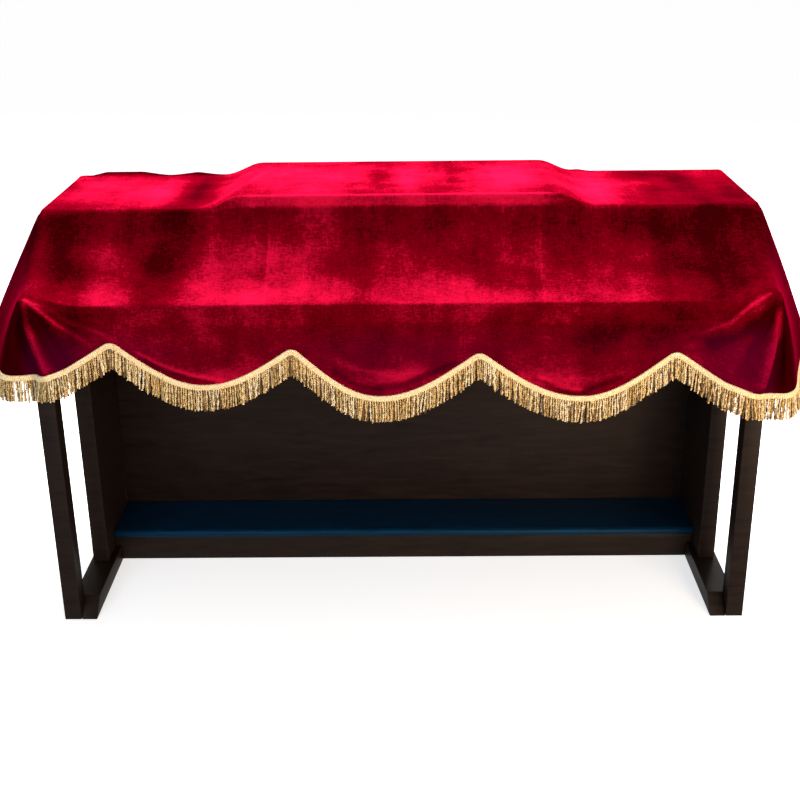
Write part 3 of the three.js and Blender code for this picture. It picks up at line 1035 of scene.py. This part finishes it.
# Each cord strays by itself on its way down
def wanderOffset(tree, spot):
    own = addMath(tree, "MULTIPLY", named(tree, "cordShade", "FLOAT"), fringe["wanderSpread"])
    noise = addNode(tree, "ShaderNodeTexNoise", {
        "Vector": spot, "W": own, "Scale": fringe["wanderScale"], "Detail": 1.0,
    }, noise_dimensions="4D").outputs["Color"]
    middle = {0: noise, 1: (0.5, 0.5, 0.5)}
    centred = addNode(tree, "ShaderNodeVectorMath", middle, operation="SUBTRACT").outputs[0]
    return scaled(tree, centred, fringe["wander"] * mm)


def cordTree(material, pitch, radius, seed, lightness):
    inputs = {
        "Cord length": ("NodeSocketFloat", fringe["cordLength"] * mm),
        "Cord pitch": ("NodeSocketFloat", pitch * mm),
        "Cord radius": ("NodeSocketFloat", radius * mm),
        "Cord turns": ("NodeSocketFloat", fringe["cordTurns"]),
        "Seed": ("NodeSocketInt", seed),
    }
    tree, out, target, sockets = geometryTree("hangingCords", inputs)

    def draw(number, low, high):
        return randomValue(tree, low, high, addMath(tree, "ADD", out["Seed"], number))

    points = spacedAlong(tree, out["Geometry"], out["Cord pitch"])
    cord = twistedCord(tree, out["Cord turns"])
    facing = facingTo(tree, scaled(tree, named(tree, "hang"), -1.0), named(tree, "outward"))
    # neighbours cling together: they lean sideways by a noise that is wider than one cord
    spot = addNode(tree, "GeometryNodeInputPosition").outputs[0]
    lean = addNode(tree, "ShaderNodeTexNoise", {"Vector": spot, "Scale": fringe["clingScale"], "Detail": 2.0})
    lean = addShare(tree, lean.outputs["Fac"], 0.5, fringe["cling"])
    swing, spin = fringe["swing"], fringe["spin"]
    side = swing * fringe["swingSideShare"]
    sideways = addMath(tree, "ADD", lean, draw(0, -side, side))
    turned = turnedBy(tree, facing, combined(tree, sideways, draw(4, -swing, swing), draw(5, -spin, spin)))
    longer = addMath(tree, "MULTIPLY", draw(1, *fringe["lengths"]), out["Cord length"])
    thicker = addMath(tree, "MULTIPLY", draw(2, *fringe["widths"]), out["Cord radius"])
    cords = copiesOn(tree, points, cord, turned, combined(tree, thicker, thicker, longer))
    shaded = addNode(tree, "GeometryNodeStoreNamedAttribute", {
        "Geometry": cords, "Name": "cordShade", "Value": draw(3, *lightness),
    }, data_type="FLOAT", domain="INSTANCE").outputs[0]
    real = addNode(tree, "GeometryNodeRealizeInstances", {"Geometry": shaded}).outputs[0]
    finishTree(tree, target, shifted(tree, real, wanderOffset(tree, spot)), material)
    return tree, sockets, inputs


def stitchTree(material):
    inputs = {
        "Stitch pitch": ("NodeSocketFloat", fringe["stitchPitch"] * mm),
        "Stitch radius": ("NodeSocketFloat", fringe["stitchRadius"] * mm),
        "Heading width": ("NodeSocketFloat", fringe["headingWidth"] * mm),
    }
    tree, out, target, sockets = geometryTree("braidStitches", inputs)
    points = spacedAlong(tree, out["Geometry"], out["Stitch pitch"])
    bead = addNode(tree, "GeometryNodeMeshIcoSphere", {"Radius": 1.0, "Subdivisions": 1}).outputs[0]
    bead = addNode(tree, "GeometryNodeSetShadeSmooth", {"Geometry": bead}).outputs[0]
    down, outward, radius = named(tree, "down"), named(tree, "outward"), out["Stitch radius"]
    facing = facingTo(tree, outward, down)
    lift = scaled(tree, outward, radius)
    size = combined(tree, addMath(tree, "MULTIPLY", radius, fringe["stitchStretch"]), radius, radius)
    joined = tree.nodes.new("GeometryNodeJoinGeometry")
    for share, slant in fringe["stitchRows"]:
        step = scaled(tree, down, addMath(tree, "MULTIPLY", out["Heading width"], share))
        offset = addNode(tree, "ShaderNodeVectorMath", {0: step, 1: lift}, operation="ADD").outputs[0]
        turned = turnedBy(tree, facing, (0, 0, slant))
        beads = copiesOn(tree, shifted(tree, points, offset), bead, turned, size)
        tree.links.new(beads, joined.inputs[0])
    real = addNode(tree, "GeometryNodeRealizeInstances", {"Geometry": joined.outputs[0]}).outputs[0]
    finishTree(tree, target, real, material)
    return tree, sockets, inputs


def bullionMaterial():
    material, tree, shader = newMaterial(
        "goldBullion", fringe["gold"], fringe["roughness"], fringe["specular"])
    shader.inputs["Sheen Weight"].default_value = fringe["sheen"]
    shader.inputs["Sheen Tint"].default_value = (*fringe["light"], 1)
    place = addNode(tree, "ShaderNodeTexCoord").outputs["Object"]
    strand = addNode(tree, "ShaderNodeAttribute", attribute_name="cordShade").outputs["Fac"]
    mottle = addNoise(tree, place, (1, 1, 1), fringe["mottleScale"])
    tone = addMath(tree, "ADD", addMath(tree, "MULTIPLY", mottle, fringe["mottleShare"]),
                   addMath(tree, "MULTIPLY", strand, fringe["strandShare"]))
    tone = addMath(tree, "ADD", tone, fringe["toneLift"])
    shades = [fringe[name] for name in ("shade", "gold", "light")]
    color = addRamp(tree, tone, zip(fringe["rampPlaces"], shades))
    tree.links.new(color, shader.inputs["Base Color"])
    addBump(tree, shader, addNoise(tree, place, (1, 1, 1), fringe["threadScale"], 1.0), *fringe["threadBump"])
    return material


def makeFringe(sheet):
    p, down, outward = hemPath(sheet)
    material = bullionMaterial()
    points, faces = sweepHeading(p, down, outward)
    band = makeObject("fringeBand", toFrame(points), faces)
    band.data.materials.append(material)
    ways = {"down": down, "outward": outward}
    stitchPath = pathObject("stitchPath", p + outward * fringe["stitchOff"], ways)
    pieces = [band, growAlong("fringeBraid", stitchPath, *stitchTree(material))]
    lean = fringe["hangLean"]
    hang = unit(np.array([0, 0, -1.0]) + outward * np.array([lean, lean, 0]))
    foot = p + down * (fringe["headingWidth"] - fringe["headingTuck"])
    for name, back, *row in fringe["cordRows"]:
        path = pathObject(name + "Path", foot - outward * back, {"hang": hang, "outward": outward})
        cords = growAlong(name, path, *cordTree(material, *row))
        shadeSmooth(cords.data)
        pieces.append(cords)
    for obj in pieces:
        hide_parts("fringe_trim")
        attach(obj, "root")
        print(obj.name, len(obj.data.polygons), "faces")
    return pieces


# Dark wood stand
wood = {
    "dark": (0.005, 0.0028, 0.0022),
    "warm": (0.018, 0.009, 0.0055),
    # the shelf's blue is a painted reflection of a cool light, in both its darker and lighter grain tones
    "shelfDark": (0.0008, 0.009, 0.022),
    "shelfLight": (0.001, 0.027, 0.066),
    "tint": (1, 0.94, 0.9),
    "shelfTint": (0.35, 0.7, 1.0),
    "grain": ((1.2, 12.0, 9.0), 9.0, 8.0, 0.7, 0.4),  # stretch, scale, detail, roughness, distortion
    "rampPlaces": (0.3, 0.75),
    "gloss": (0.34, 0.56),
    "bevel": 1.6,
    "bevelAngle": 30,
    "bevelSegments": 3,
    "weld": 1e-5,
    "flatAngle": 2,
    "roughness": 0.4,
    "specular": 0.16,
    "bump": (0.25, 0.0006),  # strength, distance
}


def woodMaterial(name, dark, warm, specularTint):
    material, tree, shader = newMaterial(name, dark, wood["roughness"], wood["specular"])
    shader.inputs["Specular Tint"].default_value = (*specularTint, 1)
    place = addNode(tree, "ShaderNodeTexCoord").outputs["Object"]
    grain = addNoise(tree, place, *wood["grain"])
    color = addRamp(tree, grain, zip(wood["rampPlaces"], (dark, warm)))
    tree.links.new(color, shader.inputs["Base Color"])
    low, high = wood["gloss"]
    gloss = addNode(tree, "ShaderNodeMapRange", {"Value": grain, "To Min": low, "To Max": high}).outputs[0]
    tree.links.new(gloss, shader.inputs["Roughness"])
    addBump(tree, shader, grain, *wood["bump"])
    return material


def makeStand():
    stained = woodMaterial("darkStainedWood", wood["dark"], wood["warm"], wood["tint"])
    # black lacquer with a painted blue reflection for the shelf
    lacquered = woodMaterial("blackLacquerWithPaintedBlueReflection", wood["shelfDark"], wood["shelfLight"], wood["shelfTint"])
    for name, obj in nodes.items():
        if name in ("velvet_cover", "fringe_trim"):
            continue
        mesh = obj.data.copy()
        mesh.name = name + "Wood"
        board = addObject(name + "Wood", mesh)
        form = bmesh.new()
        form.from_mesh(mesh)
        bmesh.ops.remove_doubles(form, verts=form.verts, dist=wood["weld"])
        flat = math.radians(wood["flatAngle"])
        bmesh.ops.dissolve_limit(form, angle_limit=flat, verts=form.verts, edges=form.edges)
        form.to_mesh(mesh)
        form.free()
        mesh.materials.clear()
        mesh.materials.append(lacquered if name == "floor_shelf" else stained)
        shadeSmooth(mesh)
        bevel = board.modifiers.new("easedEdges", "BEVEL")
        bevel.width = wood["bevel"] * mm
        bevel.segments = wood["bevelSegments"]
        bevel.limit_method = "ANGLE"
        bevel.angle_limit = math.radians(wood["bevelAngle"])
        bevel.harden_normals = True
        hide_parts(name)
        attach(board, "root")
    print("stand boards:", len(nodes) - 2)


makeCamera()
makeLights()
makeFloor()
print("studio set")
sheet = shapeCover()
coverObject = makeCover(sheet)
fringeObjects = makeFringe(sheet)
makeStand()
